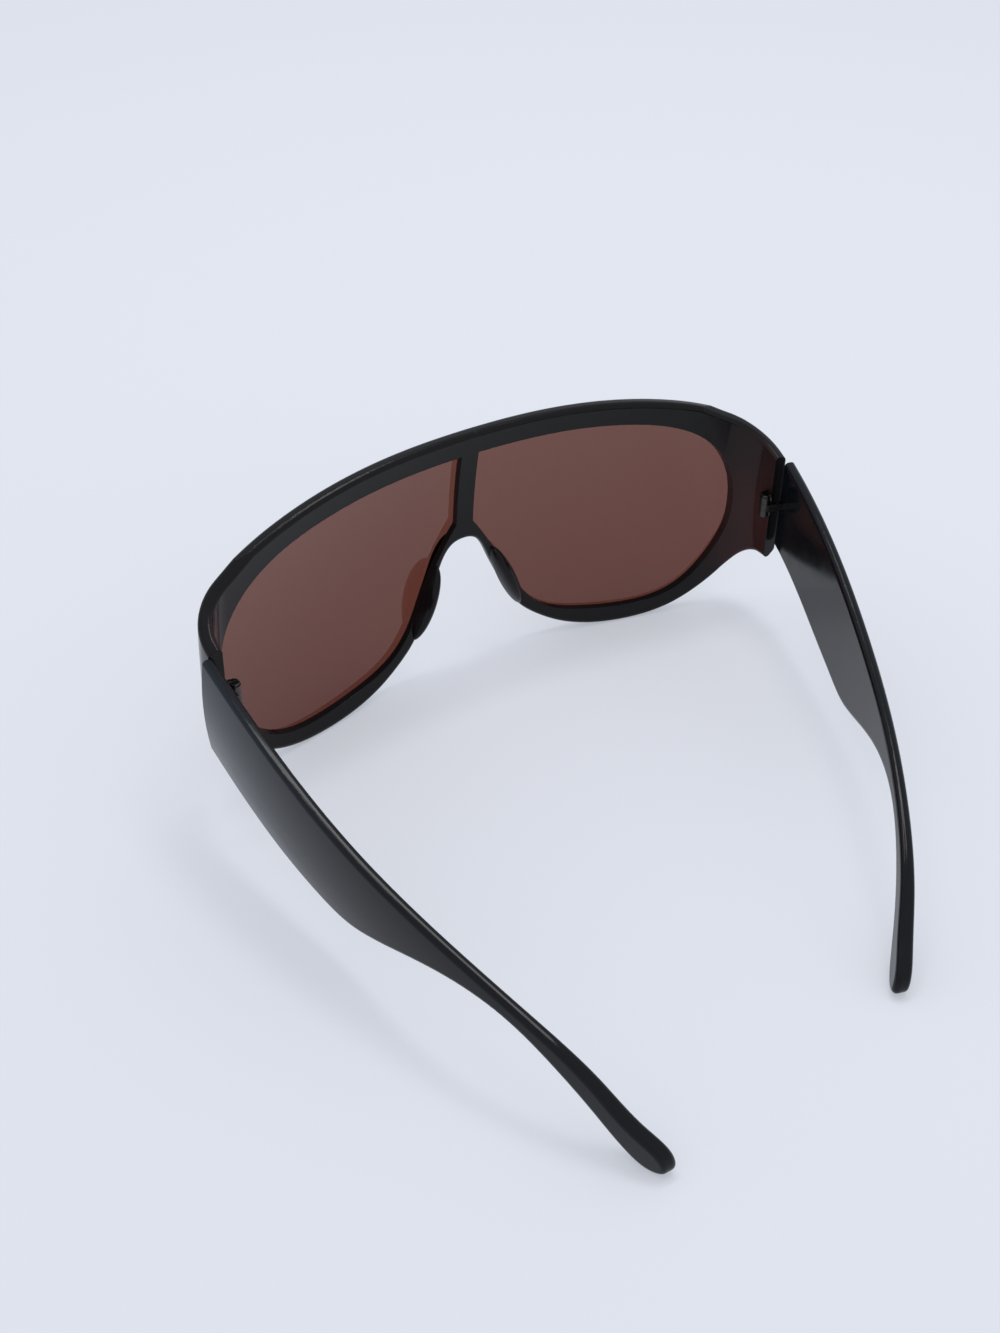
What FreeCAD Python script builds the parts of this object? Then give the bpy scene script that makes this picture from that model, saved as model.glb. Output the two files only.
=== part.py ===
import FreeCAD, Part
import math
import os

# Oversized shield sunglasses: one curved lens in a full-rim front, with two broad folding temples.
# Millimetres. The glasses stand on a table at z = 0, on both lower rims and both temple tips, with the
# front facing -Y. The wearer's left is +X. Shapes are built on the middle plane and moved at the end so
# that the origin is under the middle of the overall box.

# Front, seen from above: a wide arc that turns back through a tight corner into each end piece.
FRONT_THICKNESS = 3.0      # back face to front face
BACK_RADIUS = 175.0        # wide arc of the back face
CORNER_RADIUS = 9.0        # back face where the front turns into the end piece
END_INNER_X = 68.0         # inner face of the end piece, from the middle plane
BUTT_Y = 22.5              # plane where end piece and temple meet, behind the back face's middle
RISE_RADIUS = 130.0        # radius of the front seen from the side
RISE_SWEEP = 20.0          # degrees each way that covers the front's height

# Front outline, seen from the front, in (x, z) from the middle plane and the table.
TOP_EDGE = [(0, 60.5), (18, 60.3), (30, 59.5), (46, 57.0), (53, 55.2), (59, 53.1), (66, 50.0), (74, 46.6)]
BOTTOM_EDGE = [(74, 19.6), (70.5, 17.4), (66, 12.1), (58, 5.2), (51, 1.7), (41, 0), (32, 0.6), (24.5, 2.8),
               (18.7, 6.1), (14.2, 10.0), (9.7, 18.0), (7.0, 24.0), (4.9, 28.8), (2.6, 31.4), (0, 32.0)]
APERTURE_EDGE = [(6.4, 29.6), (11.6, 20.1), (15.9, 12.5), (20.6, 8.3), (29.5, 5.2), (39.6, 4.0), (49, 5.0),
                 (54.5, 7.7), (58.6, 11.6), (61.9, 16.2), (64.1, 21.2), (64.9, 27.5), (64.2, 34.4),
                 (61.2, 41.0), (56, 46.3), (48, 50.3), (38, 52.7), (26, 54.2), (12, 54.8)]
BAR_WIDTH = 4.2            # upright bar behind the lens
BAR_BOTTOM_Z = 36.4        # where the bar meets the apertures
BAR_TOP_Z = 54.9
END_EDGE = [(-8, 57.6), (0, 51.0), (13, 43.3), (20, 39.3)]  # (way from corner to butt plane, z)
FRONT_EDGE_ROUND = 1.0     # rounding of the front's outline

# Shield lens, bonded into a rebate in the front face.
LENS_THICKNESS = 1.3
LENS_BOND = 0.1            # glue line behind the lens
LENS_RIM = 1.6             # rim left showing round the lens
LENS_END_X = 66.4          # outer end of the lens
LENS_GAP = 0.1             # gap round the lens edge
LENS_CORNER = 5.0          # rounding of the lens's outer corners

# Temples: an arc seen from above, a broad blade that narrows to a paddle seen from the side.
TEMPLE_THICKNESS = 3.2     # at the crown of the outer face
TEMPLE_RADIUS = 293.0      # outer face, seen from above
TEMPLE_PROUD = 2.2         # crown of the outer face, outside the end piece
CROWN_RADIUS = 70.0        # outer face, seen from the front
CROWN_Z = 31.0             # crown at the butt plane
CROWN_FALL = 13.6          # degrees that the crown falls, going back
BUTT_GAP = 0.15            # gap between end piece and temple
TEMPLE_EDGE_ROUND = 1.0
RIGHT_REST_FOLD = 15.0     # degrees that the right temple is swung in, as it lies
TEMPLE_EDGE = [(0, 42.1), (25, 36.3), (50, 29.7), (75, 24.4), (92, 20.0), (105, 14.1), (113, 8.1),
               (118.1, 4.3), (118.3, 1.4), (115.6, 0), (110.5, 2.4), (105, 7.6), (97, 13.4), (88, 17.4),
               (77, 18.4), (65, 16.0), (55, 12.6), (47, 10.6), (38, 11.0), (27, 12.8), (12, 16.7),
               (0, 19.6)]         # (distance behind the butt plane, z), from the top corner

# Hinge: two front knuckles, one temple knuckle between them, and a screw as the pin.
HINGE_Z = 31.5             # middle of the hinge
PIN_INSET = 1.7            # pin axis inside the end piece's inner face
KNUCKLE_RADIUS = 1.3
KNUCKLE_HEIGHT = 1.6
KNUCKLE_GAP = 0.05
SCREW_RADIUS = 0.7
SCREW_FIT = 0.02           # radial clearance in the front knuckles
PIN_FIT = 0.05             # radial clearance in the temple knuckle
SCREW_HEAD_RADIUS = 1.1
SCREW_HEAD_HEIGHT = 0.6
SCREW_END = 0.2            # screw end below the lower knuckle
SLOT_WIDTH = 0.35
SLOT_DEPTH = 0.3
LEAF_THICKNESS = 0.9       # anchor plate sunk into the plastic
LEAF_DEPTH = 1.1           # plastic left between the inner face and the anchor plate
FRONT_LEAF_LENGTH = 6.0
TEMPLE_LEAF_LENGTH = 10.0
LEAF_SET = 0.35            # how far arms and plates stay from the butt plane
ARM_WIDTH = 1.5

# Nose pads, cemented to the back of the rim on each side of the nose.
PAD_LENGTH = 19.0
PAD_WIDTH = 4.0
PAD_DEPTH = 4.4            # how far a pad stands behind the back face
PAD_CENTRE = (10.7, 18.8)  # (x, z) on the rim
PAD_LEAN = 22.0            # degrees from upright, along the rim
PAD_SPLAY = 3.0            # degrees outwards, going back

# Limits of the construction, not sizes of the object.
OVER = 9.0                 # how far cutting shapes run past what they cut
SHARP = 15.0               # degrees between faces from which an edge is rounded
NEAR = 0.01                # places closer than this are the same

V = FreeCAD.Vector
MIDDLE = V(1, 0, 0)        # across the glasses: normal of the middle plane
TOP_Z = TOP_EDGE[0][1]
RISE_Z = TOP_Z / 2         # height of the front's furthest-forward line
END_OUTER_X = END_INNER_X + FRONT_THICKNESS
TEMPLE_OUTER_X = END_OUTER_X + TEMPLE_PROUD
TEMPLE_Y = BUTT_Y + BUTT_GAP
PIN_X = END_INNER_X - PIN_INSET
PIN_Y = BUTT_Y + BUTT_GAP / 2
HINGE_TOP = HINGE_Z + 1.5 * KNUCKLE_HEIGHT + KNUCKLE_GAP
HINGE_BOTTOM = HINGE_Z - 1.5 * KNUCKLE_HEIGHT - KNUCKLE_GAP


def spline(points):
    """One smooth curve through points."""
    curve = Part.BSplineCurve()
    curve.interpolate(points)
    return curve.toShape()


def line(a, b):
    return Part.makeLine(a, b)


def in_front_view(pairs, y=0.0):
    return [V(x, y, z) for x, z in pairs]


def mirrored(shape):
    return shape.mirror(V(0, 0, 0), MIDDLE)


def half_plan(offset):
    """Edges of the front's plan curve on the +X side, a given distance in front of the back face."""
    centre = V(0, BACK_RADIUS, RISE_Z)
    corner_x = END_INNER_X - CORNER_RADIUS
    reach = BACK_RADIUS - CORNER_RADIUS
    corner = V(corner_x, BACK_RADIUS - math.sqrt(reach ** 2 - corner_x ** 2), RISE_Z)
    join = corner - centre
    join.normalize()
    wide = BACK_RADIUS + offset
    tight = CORNER_RADIUS + offset
    middle = centre + V(0, -wide, 0)
    tangent = centre + join * wide
    half_way = join + V(0, -1, 0)
    half_way.normalize()
    turn_way = join + V(1, 0, 0)
    turn_way.normalize()
    side = corner + V(tight, 0, 0)
    end = V(side.x, BUTT_Y + OVER, RISE_Z)
    return [Part.Arc(middle, centre + half_way * wide, tangent).toShape(),
            Part.Arc(tangent, corner + turn_way * tight, side).toShape(),
            line(side, end)], middle, end


def front_shell(back_offset, front_offset):
    """Closed shell of the front between two distances in front of the back face."""
    back, back_middle, back_end = half_plan(back_offset)
    front, front_middle, front_end = half_plan(front_offset)
    half = Part.Face(Part.Wire(Part.__sortEdges__(
        back + front + [line(back_middle, front_middle), line(back_end, front_end)])))
    axis = V(0, RISE_RADIUS, RISE_Z)
    half.rotate(axis, MIDDLE, -RISE_SWEEP)
    solid = half.revolve(axis, MIDDLE, 2 * RISE_SWEEP)
    return solid.fuse(mirrored(solid)).removeSplitter()


def prism(wire):
    """A front-view outline run right through the front."""
    face = Part.Face(wire)
    face.translate(V(0, -4 * OVER, 0))
    return face.extrude(V(0, 12 * OVER, 0))


def outline_points():
    """Points of the front's top and bottom edges, clockwise from the upper left."""
    top = [(-x, z) for x, z in TOP_EDGE[:0:-1]] + TOP_EDGE
    bottom = BOTTOM_EDGE + [(-x, z) for x, z in BOTTOM_EDGE[-2::-1]]
    return in_front_view(top), in_front_view(bottom)


def outline_wire():
    """The front's outline, with square ends beyond the end pieces."""
    top, bottom = outline_points()
    out = V(OVER, 0, 0)
    return Part.Wire([
        spline(top), line(top[-1], top[-1] + out), line(top[-1] + out, bottom[0] + out),
        line(bottom[0] + out, bottom[0]), spline(bottom), line(bottom[-1], bottom[-1] - out),
        line(bottom[-1] - out, top[0] - out), line(top[0] - out, top[0])])


def one_solid(shape):
    """The only solid of a cut or joined shape."""
    solids = shape.Solids
    if len(solids) != 1:
        raise ValueError("%d solids where one is meant" % len(solids))
    return solids[0]


def sharp_edges(shape, wanted):
    """Edges where two faces meet at an angle, if wanted(middle point) holds."""
    found = []
    for edge in shape.Edges:
        faces = shape.ancestorsOfType(edge, Part.Face)
        if len(faces) != 2:
            continue
        middle = edge.valueAt((edge.FirstParameter + edge.LastParameter) / 2)
        normals = [face.normalAt(*face.Surface.parameter(middle)) for face in faces]
        if math.degrees(normals[0].getAngle(normals[1])) > SHARP and wanted(middle):
            found.append(edge)
    return found


def box(x0, x1, y0, y1, z0, z1):
    return Part.makeBox(x1 - x0, y1 - y0, z1 - z0, V(x0, y0, z0))


def post(radius, z0, z1):
    """Upright cylinder on the left hinge's axis."""
    return Part.makeCylinder(radius, z1 - z0, V(PIN_X, PIN_Y, z0))


def aperture():
    """Prism of the left opening, from the bar round the rim."""
    bar = BAR_WIDTH / 2
    points = in_front_view([(bar, BAR_BOTTOM_Z)] + APERTURE_EDGE + [(bar, BAR_TOP_Z)])
    return prism(Part.Wire([spline(points), line(points[-1], points[0])]))


def drawn_in(points, distance):
    """Smooth curve a given distance to the right of the smooth curve through points, seen from the front."""
    curve = spline(points).Curve
    stops = [curve.parameter(point) for point in points]
    stops += [(a + b) / 2 for a, b in zip(stops, stops[1:])]
    inset = []
    for stop in sorted(stops):
        along = curve.tangent(stop)[0]
        inset.append(curve.value(stop) + V(along.z, 0, -along.x) * distance)
    return inset


def lens_prism(grow):
    """Prism of the lens outline: the front's outline drawn in, ended short of the corners."""
    top, bottom = outline_points()
    top = drawn_in(top, LENS_RIM - grow)
    bottom = drawn_in(bottom, LENS_RIM - grow)
    ends = line(top[-1], bottom[0]), line(bottom[-1], top[0])
    whole = prism(Part.Wire([spline(top), ends[0], spline(bottom), ends[1]]))
    end = LENS_END_X + grow
    ended = one_solid(whole.common(box(-end, end, -4 * OVER, 8 * OVER, -OVER, TOP_Z + OVER)))
    corners = [edge for edge in ended.Edges
               if abs(abs(edge.CenterOfMass.x) - end) < NEAR and edge.BoundBox.YLength > 2 * OVER]
    return one_solid(ended.makeFillet(LENS_CORNER, corners))


def end_fall():
    """Block above the left end piece's top edge, which falls from the corner to the butt plane."""
    corner = half_plan(0)[0][0].lastVertex().Point
    along = V(END_INNER_X + FRONT_THICKNESS / 2, BUTT_Y, corner.z) - corner
    along.normalize()
    across = V(along.y, -along.x, 0) * 2 * OVER
    base = V(corner.x, corner.y, 0) - across
    edge = [base + along * way + V(0, 0, z) for way, z in END_EDGE]
    back = V(edge[-1].x, edge[-1].y, edge[0].z)
    side = Part.Face(Part.Wire([spline(edge), line(edge[-1], back), line(back, edge[0])]))
    return side.extrude(across * 2)


def front_blank():
    """The front before its openings are cut, with its outline rounded."""
    blank = front_shell(0, FRONT_THICKNESS).common(prism(outline_wire()))
    blank = blank.cut(end_fall()).cut(mirrored(end_fall()))
    reach = END_OUTER_X + OVER
    blank = one_solid(blank.cut(box(-reach, reach, BUTT_Y, BUTT_Y + 4 * OVER, -OVER, TOP_Z + OVER)))
    return one_solid(blank.makeFillet(FRONT_EDGE_ROUND, sharp_edges(blank, lambda p: p.y < BUTT_Y - NEAR)))


def lens():
    shell = front_shell(FRONT_THICKNESS - LENS_THICKNESS, FRONT_THICKNESS)
    return one_solid(shell.common(lens_prism(0)))


def front_frame(leaves):
    rebate = front_shell(FRONT_THICKNESS - LENS_THICKNESS - LENS_BOND, FRONT_THICKNESS + OVER)
    frame = front_blank().cut(rebate.common(lens_prism(LENS_GAP)))
    opening = aperture()
    frame = one_solid(frame.cut(opening).cut(mirrored(opening)))
    for leaf in leaves:
        frame = frame.cut(leaf)
    return one_solid(frame)


def nose_pad():
    """Half of an ellipsoid on the back of the left nose-side rim."""
    ball = Part.makeSphere(1.0)
    stretch = FreeCAD.Matrix()
    stretch.scale(PAD_WIDTH / 2, PAD_DEPTH, PAD_LENGTH / 2)
    pad = ball.transformGeometry(stretch)
    pad.rotate(V(0, 0, 0), V(0, 0, 1), -PAD_SPLAY)
    pad.rotate(V(0, 0, 0), V(0, 1, 0), -PAD_LEAN)
    pad.translate(V(PAD_CENTRE[0], 0, PAD_CENTRE[1]))
    return one_solid(pad.cut(front_shell(0, FRONT_THICKNESS + OVER)))


def temple():
    """Left temple: a crowned strip on an arc, trimmed to the side outline and rounded."""
    crown = V(TEMPLE_OUTER_X, TEMPLE_Y, CROWN_Z)
    inside = crown - MIDDLE * TEMPLE_THICKNESS
    half = math.sqrt(2 * CROWN_RADIUS * TEMPLE_THICKNESS - TEMPLE_THICKNESS ** 2)
    rise = V(0, 0, half)
    strip = Part.Face(Part.Wire([Part.Arc(inside - rise, crown, inside + rise).toShape(),
                                 line(inside + rise, inside - rise)]))
    strip.rotate(crown, MIDDLE, -CROWN_FALL)
    centre = crown - MIDDLE * TEMPLE_RADIUS
    axis = FreeCAD.Rotation(MIDDLE, -CROWN_FALL).multVec(V(0, 0, 1))
    start = math.degrees(2 * OVER / TEMPLE_RADIUS)
    turn = math.degrees(1.2 * max(back for back, z in TEMPLE_EDGE) / TEMPLE_RADIUS)
    strip.rotate(centre, axis, -start)
    strip = strip.revolve(centre, axis, start + turn)
    points = [V(0, TEMPLE_Y + back, z) for back, z in TEMPLE_EDGE]
    side = Part.Face(Part.Wire([spline(points), line(points[-1], points[0])]))
    blade = one_solid(strip.common(side.extrude(V(2 * TEMPLE_OUTER_X, 0, 0))))
    return one_solid(blade.makeFillet(TEMPLE_EDGE_ROUND, sharp_edges(blade, lambda p: p.y > TEMPLE_Y + NEAR)))


def front_leaf():
    """Front half of the left hinge: two knuckles on arms from an anchor plate in the end piece."""
    plate_x = END_INNER_X + LEAF_DEPTH
    back = BUTT_Y - LEAF_SET
    front = back - FRONT_LEAF_LENGTH
    leaf = box(plate_x, plate_x + LEAF_THICKNESS, front, back, HINGE_BOTTOM, HINGE_TOP)
    for z in (HINGE_BOTTOM, HINGE_TOP - KNUCKLE_HEIGHT):
        arm = box(PIN_X, plate_x, back - ARM_WIDTH, back, z, z + KNUCKLE_HEIGHT)
        leaf = leaf.fuse(arm).fuse(post(KNUCKLE_RADIUS, z, z + KNUCKLE_HEIGHT))
    return one_solid(leaf.removeSplitter())


def temple_leaf():
    """Temple half of the left hinge: one knuckle on an arm from an anchor plate in the temple."""
    plate_x = TEMPLE_OUTER_X - TEMPLE_THICKNESS + LEAF_DEPTH
    front = TEMPLE_Y + LEAF_SET
    low = HINGE_Z - KNUCKLE_HEIGHT / 2
    high = HINGE_Z + KNUCKLE_HEIGHT / 2
    back = front + TEMPLE_LEAF_LENGTH
    plate = box(plate_x, plate_x + LEAF_THICKNESS, front, back, HINGE_BOTTOM, HINGE_TOP)
    arm = box(PIN_X, plate_x, front, front + ARM_WIDTH, low, high)
    return one_solid(plate.fuse(arm).fuse(post(KNUCKLE_RADIUS, low, high)).removeSplitter())


def screw():
    """Hinge screw with a slotted head, standing on the upper knuckle."""
    head_top = HINGE_TOP + SCREW_HEAD_HEIGHT
    shank = post(SCREW_RADIUS, HINGE_BOTTOM - SCREW_END, HINGE_TOP)
    head = post(SCREW_HEAD_RADIUS, HINGE_TOP, head_top)
    reach = 2 * SCREW_HEAD_RADIUS
    slot = box(PIN_X - reach, PIN_X + reach, PIN_Y - SLOT_WIDTH / 2, PIN_Y + SLOT_WIDTH / 2,
               head_top - SLOT_DEPTH, head_top + OVER)
    return one_solid(shank.fuse(head).cut(slot).removeSplitter())


def bored(leaf, radius):
    return one_solid(leaf.cut(post(radius, HINGE_BOTTOM - OVER, HINGE_TOP + OVER)))


def main():
    leaf_front = front_leaf()
    leaf_temple = temple_leaf()
    blade = one_solid(temple().cut(leaf_temple))
    left = {
        "nose_pad": nose_pad(),
        "hinge_front_leaf": bored(leaf_front, SCREW_RADIUS + SCREW_FIT),
        "hinge_screw": screw(),
        "temple": blade,
        "hinge_temple_leaf": bored(leaf_temple, SCREW_RADIUS + PIN_FIT),
    }
    pieces = {
        "front_frame": front_frame([leaf_front, mirrored(leaf_front)]),
        "shield_lens": lens(),
    }
    for name, shape in left.items():
        pieces[name + "_left"] = shape
        other = mirrored(shape)
        if name in ("temple", "hinge_temple_leaf"):
            other.rotate(V(-PIN_X, PIN_Y, 0), V(0, 0, -1), RIGHT_REST_FOLD)
        pieces[name + "_right"] = other

    whole = Part.makeCompound(list(pieces.values())).optimalBoundingBox(False, False)
    shift = V(-whole.Center.x, -whole.Center.y, -whole.ZMin)
    os.makedirs("parts", exist_ok=True)
    for name, shape in pieces.items():
        shape.translate(shift)
        shape.exportStep("parts/%s.step" % name)
        print("%-26s %s %9.2f mm3 %3d faces" % (name, shape.isValid(), shape.Volume, len(shape.Faces)))
    print("box %.3f %.3f %.3f" % (whole.XLength, whole.YLength, whole.ZLength))
    print("shift %.3f %.3f %.3f" % (shift.x, shift.y, shift.z))
    for side in (1, -1):
        print("pin %.3f %.3f %.3f" % (side * PIN_X + shift.x, PIN_Y + shift.y, HINGE_Z + shift.z))


main()
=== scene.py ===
import math

import bpy
from mathutils import Matrix, Vector


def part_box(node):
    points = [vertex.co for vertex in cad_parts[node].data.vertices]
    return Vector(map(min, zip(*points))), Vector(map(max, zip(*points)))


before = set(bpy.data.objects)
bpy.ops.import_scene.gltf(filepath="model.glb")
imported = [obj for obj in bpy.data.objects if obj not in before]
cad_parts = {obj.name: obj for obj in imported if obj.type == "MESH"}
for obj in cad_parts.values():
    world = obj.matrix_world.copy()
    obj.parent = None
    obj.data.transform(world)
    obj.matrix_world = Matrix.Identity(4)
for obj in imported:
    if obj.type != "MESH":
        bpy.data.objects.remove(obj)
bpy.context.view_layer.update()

bl_info = {
    "name": "Shield sunglasses look",
    "version": (1, 0, 0),
    "blender": (4, 5, 0),
    "location": "View3D > Sidebar > Sunglasses",
    "description": "Materials, light and camera for the packed shield sunglasses",
    "category": "Object",
}

SIDES = ("left", "right")
HINGE_PIECES = ("hinge_front_leaf", "hinge_temple_leaf", "hinge_screw")

# Noise patterns: ripples to the metre, then detail.
FRONT_CLOUD = (60.0, 3.0)
FRONT_POLISH = (240.0, 4.0)
FRONT_GRAIN = (900.0, 3.0)
LENS_POLISH = (300.0, 3.0)
LENS_RIPPLE = (140.0, 2.0)
TEMPLE_CLOUD = (45.0, 3.0)
TEMPLE_POLISH = (220.0, 4.0)
TEMPLE_GRAIN = (700.0, 3.0)
HINGE_BRUSHING = (1500.0, 3.0)
HINGE_PATCHES = (500.0, 2.0)
HINGE_STRETCH = (1.0, 1.0, 9.0)

# Heights of the fine grain, in metres.
FRONT_GRAIN_HEIGHT = 0.000004
LENS_RIPPLE_HEIGHT = 0.000004
TEMPLE_GRAIN_HEIGHT = 0.000001
HINGE_BRUSHING_HEIGHT = 0.00001

# Roundings that edges show, in metres. The front's is a property.
TEMPLE_EDGE = 0.0003
HINGE_EDGE = 0.0001
EDGE_SAMPLES = 6

# How far the roughness wanders below and above its property.
FRONT_WANDER = (0.04, 0.05)
LENS_WANDER = (0.01, 0.02)
TEMPLE_WANDER = (0.03, 0.05)
HINGE_WANDER = (0.08, 0.12)

# Range in which most of a noise lies.
NOISE_RANGE = (0.3, 0.7)

# Shine of the plastics, colour of the lens's mirror image, and the metal's darker patches.
PLASTIC_IOR = 1.5
FRONT_SHINE = 0.175
TEMPLE_SHINE = 0.225
LENS_SHINE = (1.0, 0.97, 0.95, 1.0)
HINGE_SHADE = 0.72

# Painted light: where light passing through the end pieces is painted into the front's colour, as
# shares of the front's half width and height.
THIN_FROM = 0.80
INNER_FULL = -0.4
LOW_FULL = 0.5
LOW_NONE = 0.9
FRONT_CLOUD_AMOUNT = (0.75, 1.15)

# How the temples' painted reflection spreads: shares of their length and place across, then
# amounts.
TEMPLE_REFLECTION_FADE = 0.5
OUTER_FULL = 0.5
INNER_REFLECTION_AMOUNT = 0.25
TEMPLE_CLOUD_AMOUNT = (0.85, 1.1)

# Sockets of a Mix node for colours, which share their names with its other sockets.
MIX_FACTOR, MIX_FIRST, MIX_SECOND, MIX_RESULT = 0, 6, 7, 2

# The stage, in metres.
FLOOR_REACH = 3.0
FRONT_BOX_SIZE = (0.50, 0.10)
FRONT_BOX_PLACE = (0.03, -0.22, 0.80)
SIDE_BOX_SIZE = (0.17, 0.42)
SIDE_BOX_PLACE = (-0.21, -0.06, 0.80)
NEAREST_SEEN = 0.01


def constant(node, socket, value):
    """Sets one input of a node."""
    node.inputs[socket].default_value = value


def wander(roughness, reach):
    """Lowest and highest roughness round the one that is set."""
    return roughness - reach[0], roughness + reach[1]


class Shader:
    """A material's node tree with short calls to add and join nodes."""

    def __init__(self, name):
        self.material = bpy.data.materials.new(name)
        self.material.use_nodes = True
        self.tree = self.material.node_tree
        self.tree.nodes.clear()
        self.output = self.add("ShaderNodeOutputMaterial")

    def add(self, kind, inputs=None, **settings):
        """New node, with each input joined to a socket or set to a value."""
        node = self.tree.nodes.new(kind)
        for key, value in settings.items():
            setattr(node, key, value)
        for key, value in (inputs or {}).items():
            if isinstance(value, bpy.types.NodeSocket):
                self.tree.links.new(value, node.inputs[key])
            else:
                constant(node, key, value)
        return node

    def place(self):
        """Position in the part's own frame, in metres."""
        return self.add("ShaderNodeTexCoord").outputs["Object"]

    def axes(self):
        """X, Y and Z of that position, by name."""
        return self.add("ShaderNodeSeparateXYZ", {"Vector": self.place()}).outputs

    def noise(self, scale, detail, stretch=(1.0, 1.0, 1.0)):
        """Noise between 0 and 1, with a size of about 1 / scale metres."""
        mapping = self.add("ShaderNodeMapping", {"Vector": self.place(), "Scale": stretch})
        return self.add("ShaderNodeTexNoise", {
            "Vector": mapping.outputs[0], "Scale": scale, "Detail": detail}).outputs["Fac"]

    def spread(self, value, low, high, start=NOISE_RANGE[0], end=NOISE_RANGE[1]):
        """value's range start to end, spread over low to high."""
        return self.add("ShaderNodeMapRange", {
            "Value": value, "From Min": start, "From Max": end, "To Min": low,
            "To Max": high}).outputs["Result"]

    def combine(self, operation, first, *rest):
        """Values joined in order by one Math operation."""
        for value in rest:
            first = self.add("ShaderNodeMath", {0: first, 1: value},
                             operation=operation).outputs[0]
        return first

    def product(self, *values):
        """Product of the values."""
        return self.combine("MULTIPLY", *values)

    def outward(self, across):
        """Position across times the face's direction across: positive on outer faces."""
        normal = self.add("ShaderNodeTexCoord").outputs["Normal"]
        return self.product(
            across, self.add("ShaderNodeSeparateXYZ", {"Vector": normal}).outputs["X"])

    def blend(self, factor, first, second):
        """Colour between first and second."""
        node = self.add("ShaderNodeMix", data_type="RGBA")
        for index, value in ((MIX_FACTOR, factor), (MIX_FIRST, first), (MIX_SECOND, second)):
            if isinstance(value, bpy.types.NodeSocket):
                self.tree.links.new(value, node.inputs[index])
            else:
                constant(node, index, value)
        return node.outputs[MIX_RESULT]

    def bump(self, height, distance, radius=None):
        """Normal from a height, on edges that look rounded to radius."""
        inputs = {"Height": height, "Distance": distance, "Strength": 1.0}
        if radius:
            inputs["Normal"] = self.add("ShaderNodeBevel", {"Radius": radius},
                                        samples=EDGE_SAMPLES).outputs[0]
        return self.add("ShaderNodeBump", inputs).outputs[0]

    def finish(self, surface):
        """The material, with its surface joined to the output."""
        self.tree.links.new(surface, self.output.inputs["Surface"])
        return self.material


def dress(material, *names):
    """Gives CAD nodes one material."""
    for name in names:
        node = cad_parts[name]
        node.data.materials.clear()
        node.data.materials.append(material)


class FrontLook(bpy.types.PropertyGroup):
    colour: bpy.props.FloatVectorProperty(
        name="Colour", description="Plastic of the front and the nose pads", subtype="COLOR",
        size=4, default=(0.006, 0.0056, 0.006, 1.0), min=0.0, max=1.0)
    # Painted light: a reddish colour painted on the end pieces' lower inner faces, where light
    # shines through the plastic.
    glow: bpy.props.FloatVectorProperty(
        name="Thin colour", description="Colour where light passes through the end pieces",
        subtype="COLOR", size=4, default=(0.050, 0.018, 0.017, 1.0), min=0.0, max=1.0)
    roughness: bpy.props.FloatProperty(
        name="Roughness", description="Polish of the plastic", default=0.16, min=0.0, max=1.0,
        subtype="FACTOR")
    edge: bpy.props.FloatProperty(
        name="Edge rounding", description="Rounding that the polished edges show",
        default=0.0003, min=0.0, max=0.002, unit="LENGTH")


class LensLook(bpy.types.PropertyGroup):
    top: bpy.props.FloatVectorProperty(
        name="Top tint", description="Tint that each face lets through at the top",
        subtype="COLOR", size=4, default=(0.403, 0.242, 0.200, 1.0), min=0.0, max=1.0)
    bottom: bpy.props.FloatVectorProperty(
        name="Bottom tint", description="Tint that each face lets through at the bottom",
        subtype="COLOR", size=4, default=(0.376, 0.203, 0.167, 1.0), min=0.0, max=1.0)
    roughness: bpy.props.FloatProperty(
        name="Roughness", description="Polish of the lens", default=0.03, min=0.0, max=1.0,
        subtype="FACTOR")


class TempleLook(bpy.types.PropertyGroup):
    colour: bpy.props.FloatVectorProperty(
        name="Colour", description="Plastic of the temples towards the tips", subtype="COLOR",
        size=4, default=(0.003, 0.003, 0.004, 1.0), min=0.0, max=1.0)
    # Painted reflection: a bluish sheen painted on the outer faces towards the hinges.
    front: bpy.props.FloatVectorProperty(
        name="Front colour", description="Plastic of the outer faces towards the hinges",
        subtype="COLOR", size=4, default=(0.011, 0.016, 0.022, 1.0), min=0.0, max=1.0)
    roughness: bpy.props.FloatProperty(
        name="Roughness", description="Polish of the plastic", default=0.12, min=0.0, max=1.0,
        subtype="FACTOR")


class HingeLook(bpy.types.PropertyGroup):
    colour: bpy.props.FloatVectorProperty(
        name="Colour", description="Metal of the hinges and screws", subtype="COLOR", size=4,
        default=(0.075, 0.070, 0.068, 1.0), min=0.0, max=1.0)
    roughness: bpy.props.FloatProperty(
        name="Roughness", description="Brushing of the metal", default=0.24, min=0.0, max=1.0,
        subtype="FACTOR")


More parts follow.
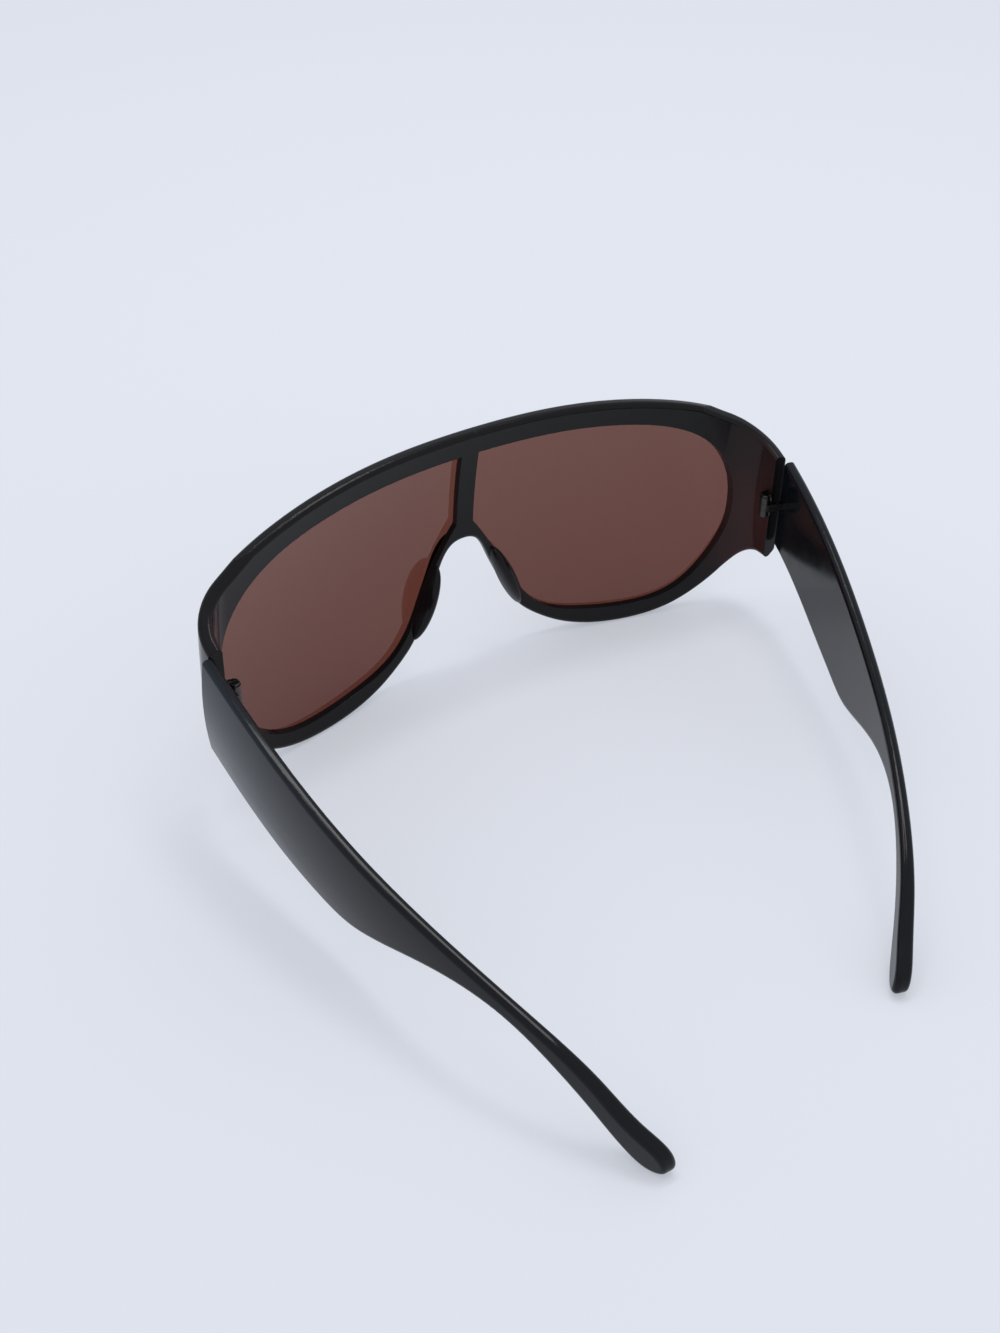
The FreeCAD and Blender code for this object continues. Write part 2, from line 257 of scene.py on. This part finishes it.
class StageLook(bpy.types.PropertyGroup):
    floor: bpy.props.FloatVectorProperty(
        name="Floor", description="Pale floor", subtype="COLOR", size=4,
        default=(0.392, 0.40, 0.42, 1.0), min=0.0, max=1.0)
    floor_glow: bpy.props.FloatVectorProperty(
        name="Floor glow", description="Light from the floor itself, which keeps shadows pale",
        subtype="COLOR", size=4, default=(0.34, 0.355, 0.39, 1.0), min=0.0, max=1.0)
    sky: bpy.props.FloatVectorProperty(
        name="Room", description="Light from all round", subtype="COLOR", size=4,
        default=(0.90, 0.93, 1.0, 1.0), min=0.0, max=1.0)
    sky_strength: bpy.props.FloatProperty(
        name="Room strength", description="Strength of the light from all round", default=0.87,
        min=0.0, max=5.0)
    wall: bpy.props.FloatVectorProperty(
        name="Background", description="What is seen and mirrored beyond the floor",
        subtype="COLOR", size=4, default=(0.645, 0.675, 0.75, 1.0), min=0.0, max=1.0)
    front_light: bpy.props.FloatProperty(
        name="Front light", description="Power of the softbox above the front", default=0.95,
        min=0.0, max=200.0, unit="POWER")
    side_light: bpy.props.FloatProperty(
        name="Side light", description="Power of the softbox above the temples", default=1.25,
        min=0.0, max=200.0, unit="POWER")
    camera: bpy.props.FloatVectorProperty(
        name="Camera", description="Where the photograph was taken from", subtype="XYZ_LENGTH",
        size=3, default=(0.17137, 0.21219, 0.25393), unit="LENGTH")
    yaw: bpy.props.FloatProperty(
        name="Turn", description="Camera's turn from looking along -Y", default=-0.573,
        subtype="ANGLE", unit="ROTATION")
    pitch: bpy.props.FloatProperty(
        name="Tilt", description="Camera's tilt below the horizon", default=0.663,
        subtype="ANGLE", unit="ROTATION")
    roll: bpy.props.FloatProperty(
        name="Roll", description="Camera's roll", default=0.019, subtype="ANGLE",
        unit="ROTATION")
    focal: bpy.props.FloatProperty(
        name="Focal length", description="Focal length in image widths", default=1.8, min=0.5,
        max=6.0)


class SUNGLASSES_OT_front(bpy.types.Operator):
    """Polished dark plastic for the front and the nose pads, with light shining through the end
    pieces painted on
    """
    bl_idname = "sunglasses.front"
    bl_label = "Front and nose pads"

    def execute(self, context):
        look = context.scene.sunglasses_front
        shader = Shader("front_plastic")
        axes = shader.axes()
        side = shader.add("ShaderNodeMath", {0: axes["X"]}, operation="ABSOLUTE").outputs[0]
        half_width, _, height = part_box("front_frame")[1]
        thin = shader.spread(side, 0.0, 1.0, THIN_FROM * half_width, half_width)
        inner = shader.spread(shader.outward(axes["X"]), 1.0, 0.0, INNER_FULL * half_width, 0.0)
        low_down = shader.spread(axes["Z"], 1.0, 0.0, LOW_FULL * height, LOW_NONE * height)
        cloud = shader.spread(shader.noise(*FRONT_CLOUD), *FRONT_CLOUD_AMOUNT)
        # Painted light: mask of the end pieces' lower inner faces, where the light shining
        # through is painted.
        painted_light_amount = shader.product(thin, inner, low_down, cloud)
        colour = shader.blend(painted_light_amount, tuple(look.colour), tuple(look.glow))
        polish = shader.spread(shader.noise(*FRONT_POLISH), *wander(look.roughness, FRONT_WANDER))
        normal = shader.bump(shader.noise(*FRONT_GRAIN), FRONT_GRAIN_HEIGHT, look.edge)
        plastic = shader.add("ShaderNodeBsdfPrincipled", {
            "Base Color": colour, "Roughness": polish, "IOR": PLASTIC_IOR,
            "Specular IOR Level": FRONT_SHINE, "Normal": normal})
        material = shader.finish(plastic.outputs[0])
        dress(material, "front_frame", "nose_pad_left", "nose_pad_right")
        return {"FINISHED"}


class SUNGLASSES_OT_lens(bpy.types.Operator):
    """Tinted glossy lens, a little redder towards the bottom"""
    bl_idname = "sunglasses.lens"
    bl_label = "Shield lens"

    def execute(self, context):
        look = context.scene.sunglasses_lens
        shader = Shader("lens_tint")
        low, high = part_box("shield_lens")
        rise = shader.spread(shader.axes()["Z"], 0.0, 1.0, low[2], high[2])
        tint = shader.blend(rise, tuple(look.bottom), tuple(look.top))
        clear = shader.add("ShaderNodeBsdfTransparent", {"Color": tint})
        polish = shader.spread(shader.noise(*LENS_POLISH), *wander(look.roughness, LENS_WANDER))
        normal = shader.bump(shader.noise(*LENS_RIPPLE), LENS_RIPPLE_HEIGHT)
        gloss = shader.add("ShaderNodeBsdfGlossy", {
            "Color": LENS_SHINE, "Roughness": polish, "Normal": normal})
        fresnel = shader.add("ShaderNodeFresnel", {
            "IOR": PLASTIC_IOR, "Normal": normal}).outputs[0]
        inside = shader.add("ShaderNodeNewGeometry").outputs["Backfacing"]
        outside = shader.combine("SUBTRACT", 1.0, inside)
        mirror = shader.product(fresnel, outside)
        lens = shader.add("ShaderNodeMixShader", {
            0: mirror, 1: clear.outputs[0], 2: gloss.outputs[0]})
        material = shader.finish(lens.outputs[0])
        dress(material, "shield_lens")
        return {"FINISHED"}


class SUNGLASSES_OT_temples(bpy.types.Operator):
    """Polished black plastic for the temples, with a bluish reflection painted on the outer faces
    towards the hinges
    """
    bl_idname = "sunglasses.temples"
    bl_label = "Temples"

    def execute(self, context):
        look = context.scene.sunglasses_temples
        shader = Shader("temple_plastic")
        axes = shader.axes()
        low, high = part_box("temple_left")
        ahead = shader.spread(axes["Y"], 1.0, 0.0, low[1],
                              low[1] + TEMPLE_REFLECTION_FADE * (high[1] - low[1]))
        outer = shader.spread(shader.outward(axes["X"]), INNER_REFLECTION_AMOUNT, 1.0, 0.0,
                              OUTER_FULL * high[0])
        cloud = shader.spread(shader.noise(*TEMPLE_CLOUD), *TEMPLE_CLOUD_AMOUNT)
        # Painted reflection: mask of the outer faces towards the hinges, where the bluish sheen
        # is painted.
        painted_light_amount = shader.product(ahead, outer, cloud)
        colour = shader.blend(painted_light_amount, tuple(look.colour), tuple(look.front))
        polish = shader.spread(shader.noise(*TEMPLE_POLISH),
                               *wander(look.roughness, TEMPLE_WANDER))
        normal = shader.bump(shader.noise(*TEMPLE_GRAIN), TEMPLE_GRAIN_HEIGHT, TEMPLE_EDGE)
        plastic = shader.add("ShaderNodeBsdfPrincipled", {
            "Base Color": colour, "Roughness": polish, "IOR": PLASTIC_IOR,
            "Specular IOR Level": TEMPLE_SHINE, "Normal": normal})
        material = shader.finish(plastic.outputs[0])
        dress(material, *["temple_" + side for side in SIDES])
        return {"FINISHED"}


class SUNGLASSES_OT_hinges(bpy.types.Operator):
    """Brushed metal for the hinge leaves and screws"""
    bl_idname = "sunglasses.hinges"
    bl_label = "Hinges and screws"

    def execute(self, context):
        look = context.scene.sunglasses_hinges
        shader = Shader("hinge_metal")
        grain = shader.noise(*HINGE_BRUSHING, HINGE_STRETCH)
        polish = shader.spread(grain, *wander(look.roughness, HINGE_WANDER))
        dark = tuple(HINGE_SHADE * part for part in look.colour[:3]) + (1.0,)
        patches = shader.spread(shader.noise(*HINGE_PATCHES), 0.0, 1.0)
        colour = shader.blend(patches, dark, tuple(look.colour))
        metal = shader.add("ShaderNodeBsdfPrincipled", {
            "Base Color": colour, "Metallic": 1.0, "Roughness": polish,
            "Normal": shader.bump(grain, HINGE_BRUSHING_HEIGHT, HINGE_EDGE)})
        material = shader.finish(metal.outputs[0])
        for side in SIDES:
            dress(material, *["%s_%s" % (name, side) for name in HINGE_PIECES])
        return {"FINISHED"}


class SUNGLASSES_OT_stage(bpy.types.Operator):
    """Pale floor, soft light and the photograph's camera"""
    bl_idname = "sunglasses.stage"
    bl_label = "Stage"

    def execute(self, context):
        look = context.scene.sunglasses_stage
        context.scene.view_settings.view_transform = "Standard"
        self.floor(look)
        self.room(context, look)
        self.softbox("front_softbox", look.front_light, FRONT_BOX_SIZE, FRONT_BOX_PLACE)
        self.softbox("side_softbox", look.side_light, SIDE_BOX_SIZE, SIDE_BOX_PLACE)
        self.camera(context, look)
        return {"FINISHED"}

    def floor(self, look):
        """Flat floor with a dull paint that glows a little."""
        reach = FLOOR_REACH
        mesh = bpy.data.meshes.new("floor")
        mesh.from_pydata([(-reach, -reach, 0), (reach, -reach, 0), (reach, reach, 0),
                          (-reach, reach, 0)], [], [(0, 1, 2, 3)])
        shader = Shader("floor_paint")
        paint = shader.add("ShaderNodeBsdfPrincipled", {
            "Base Color": tuple(look.floor), "Specular IOR Level": 0.0,
            "Emission Color": tuple(look.floor_glow), "Emission Strength": 1.0})
        mesh.materials.append(shader.finish(paint.outputs[0]))
        floor = bpy.data.objects.new("floor", mesh)
        bpy.context.collection.objects.link(floor)

    def room(self, context, look):
        """Light from all round, with the wall in its place for what is seen or mirrored."""
        world = bpy.data.worlds.new("room")
        world.use_nodes = True
        tree = world.node_tree
        light = tree.nodes["Background"]
        constant(light, "Color", tuple(look.sky))
        constant(light, "Strength", look.sky_strength)
        wall = tree.nodes.new("ShaderNodeBackground")
        constant(wall, "Color", tuple(look.wall))
        path = tree.nodes.new("ShaderNodeLightPath")
        seen = path.outputs["Is Camera Ray"]
        for ray in ("Is Glossy Ray", "Is Transmission Ray"):
            either = tree.nodes.new("ShaderNodeMath")
            either.operation = "MAXIMUM"
            tree.links.new(seen, either.inputs[0])
            tree.links.new(path.outputs[ray], either.inputs[1])
            seen = either.outputs[0]
        mix = tree.nodes.new("ShaderNodeMixShader")
        for socket, source in enumerate((seen, light.outputs[0], wall.outputs[0])):
            tree.links.new(source, mix.inputs[socket])
        tree.links.new(mix.outputs[0], tree.nodes["World Output"].inputs["Surface"])
        context.scene.world = world

    def softbox(self, name, power, size, place):
        """Soft lamp that faces straight down."""
        data = bpy.data.lights.new(name, "AREA")
        data.shape = "RECTANGLE"
        data.size, data.size_y = size
        data.energy = power
        lamp = bpy.data.objects.new(name, data)
        lamp.location = place
        bpy.context.collection.objects.link(lamp)

    def camera(self, context, look):
        """Camera at the photograph's place, turned, tilted and rolled as it was."""
        turn, tilt = look.yaw, look.pitch
        ahead = Vector((math.sin(turn) * math.cos(tilt), -math.cos(turn) * math.cos(tilt),
                        -math.sin(tilt)))
        level = Vector((-math.cos(turn), -math.sin(turn), 0.0))
        rise = level.cross(ahead)
        right = math.cos(look.roll) * level + math.sin(look.roll) * rise
        up = math.cos(look.roll) * rise - math.sin(look.roll) * level
        data = bpy.data.cameras.new("photo_view")
        data.sensor_fit = "HORIZONTAL"
        data.lens = look.focal * data.sensor_width
        data.clip_start = NEAREST_SEEN
        camera = bpy.data.objects.new("photo_view", data)
        camera.matrix_world = Matrix.Translation(Vector(look.camera)) @ Matrix(
            (right, up, -ahead)).transposed().to_4x4()
        bpy.context.collection.objects.link(camera)
        context.scene.camera = camera


class SUNGLASSES_PT_panel(bpy.types.Panel):
    """The sunglasses' operators, in the order they run"""
    bl_label = "Sunglasses"
    bl_idname = "SUNGLASSES_PT_panel"
    bl_space_type = "VIEW_3D"
    bl_region_type = "UI"
    bl_category = "Sunglasses"

    def draw(self, context):
        for operator, look in STEPS:
            box = self.layout.box()
            box.operator(operator.bl_idname)
            group = getattr(context.scene, look)
            for name in group.bl_rna.properties.keys():
                if name not in ("rna_type", "name"):
                    box.prop(group, name)


LOOKS = {
    "sunglasses_front": FrontLook,
    "sunglasses_lens": LensLook,
    "sunglasses_temples": TempleLook,
    "sunglasses_hinges": HingeLook,
    "sunglasses_stage": StageLook,
}
STEPS = (
    (SUNGLASSES_OT_front, "sunglasses_front"),
    (SUNGLASSES_OT_lens, "sunglasses_lens"),
    (SUNGLASSES_OT_temples, "sunglasses_temples"),
    (SUNGLASSES_OT_hinges, "sunglasses_hinges"),
    (SUNGLASSES_OT_stage, "sunglasses_stage"),
)
CLASSES = tuple(LOOKS.values()) + tuple(step[0] for step in STEPS) + (SUNGLASSES_PT_panel,)


def register():
    for item in CLASSES:
        bpy.utils.register_class(item)
    for name, group in LOOKS.items():
        setattr(bpy.types.Scene, name, bpy.props.PointerProperty(type=group))


def unregister():
    for name in LOOKS:
        delattr(bpy.types.Scene, name)
    for item in reversed(CLASSES):
        bpy.utils.unregister_class(item)


def main():
    register()
    bpy.ops.sunglasses.front()
    bpy.ops.sunglasses.lens()
    bpy.ops.sunglasses.temples()
    bpy.ops.sunglasses.hinges()
    bpy.ops.sunglasses.stage()


if __name__ == "__main__":
    main()
